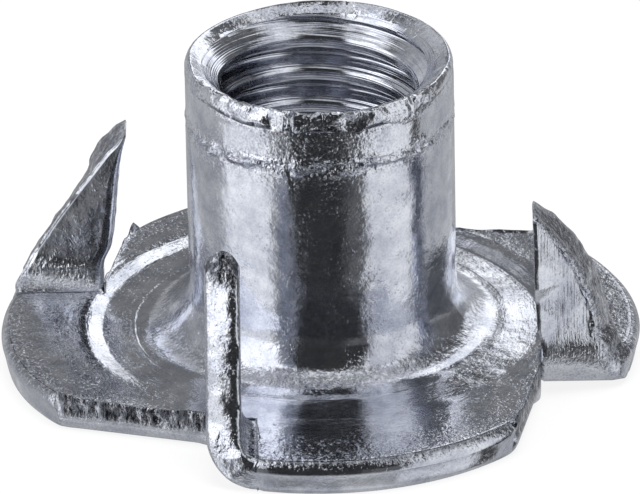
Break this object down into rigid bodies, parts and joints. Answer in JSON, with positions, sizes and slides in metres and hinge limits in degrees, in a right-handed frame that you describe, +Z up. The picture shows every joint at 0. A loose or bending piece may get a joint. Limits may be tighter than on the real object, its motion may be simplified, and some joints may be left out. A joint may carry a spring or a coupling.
{
  "type": "tee nut",
  "caption": "Pressed steel tee nut: a threaded barrel drawn up from a flange of curved petals, with prongs folded up from its rim that bite into wood.",
  "frame": {"origin": "on the thread's axis, in the underside of the flange", "axes": "+Z up the barrel, the way the prongs point; +X and +Y run along the folds of the prongs"},
  "size_m": [0.022, 0.022, 0.0114],
  "materials": {
    "zinc_plated_steel": "bright zinc plate with a faint blue passivation over pressed steel sheet, scuffed and mottled where the dies worked it"
  },
  "bodies": {
    "root": {"tee_nut": "zinc_plated_steel"}
  },
  "joints": []
}
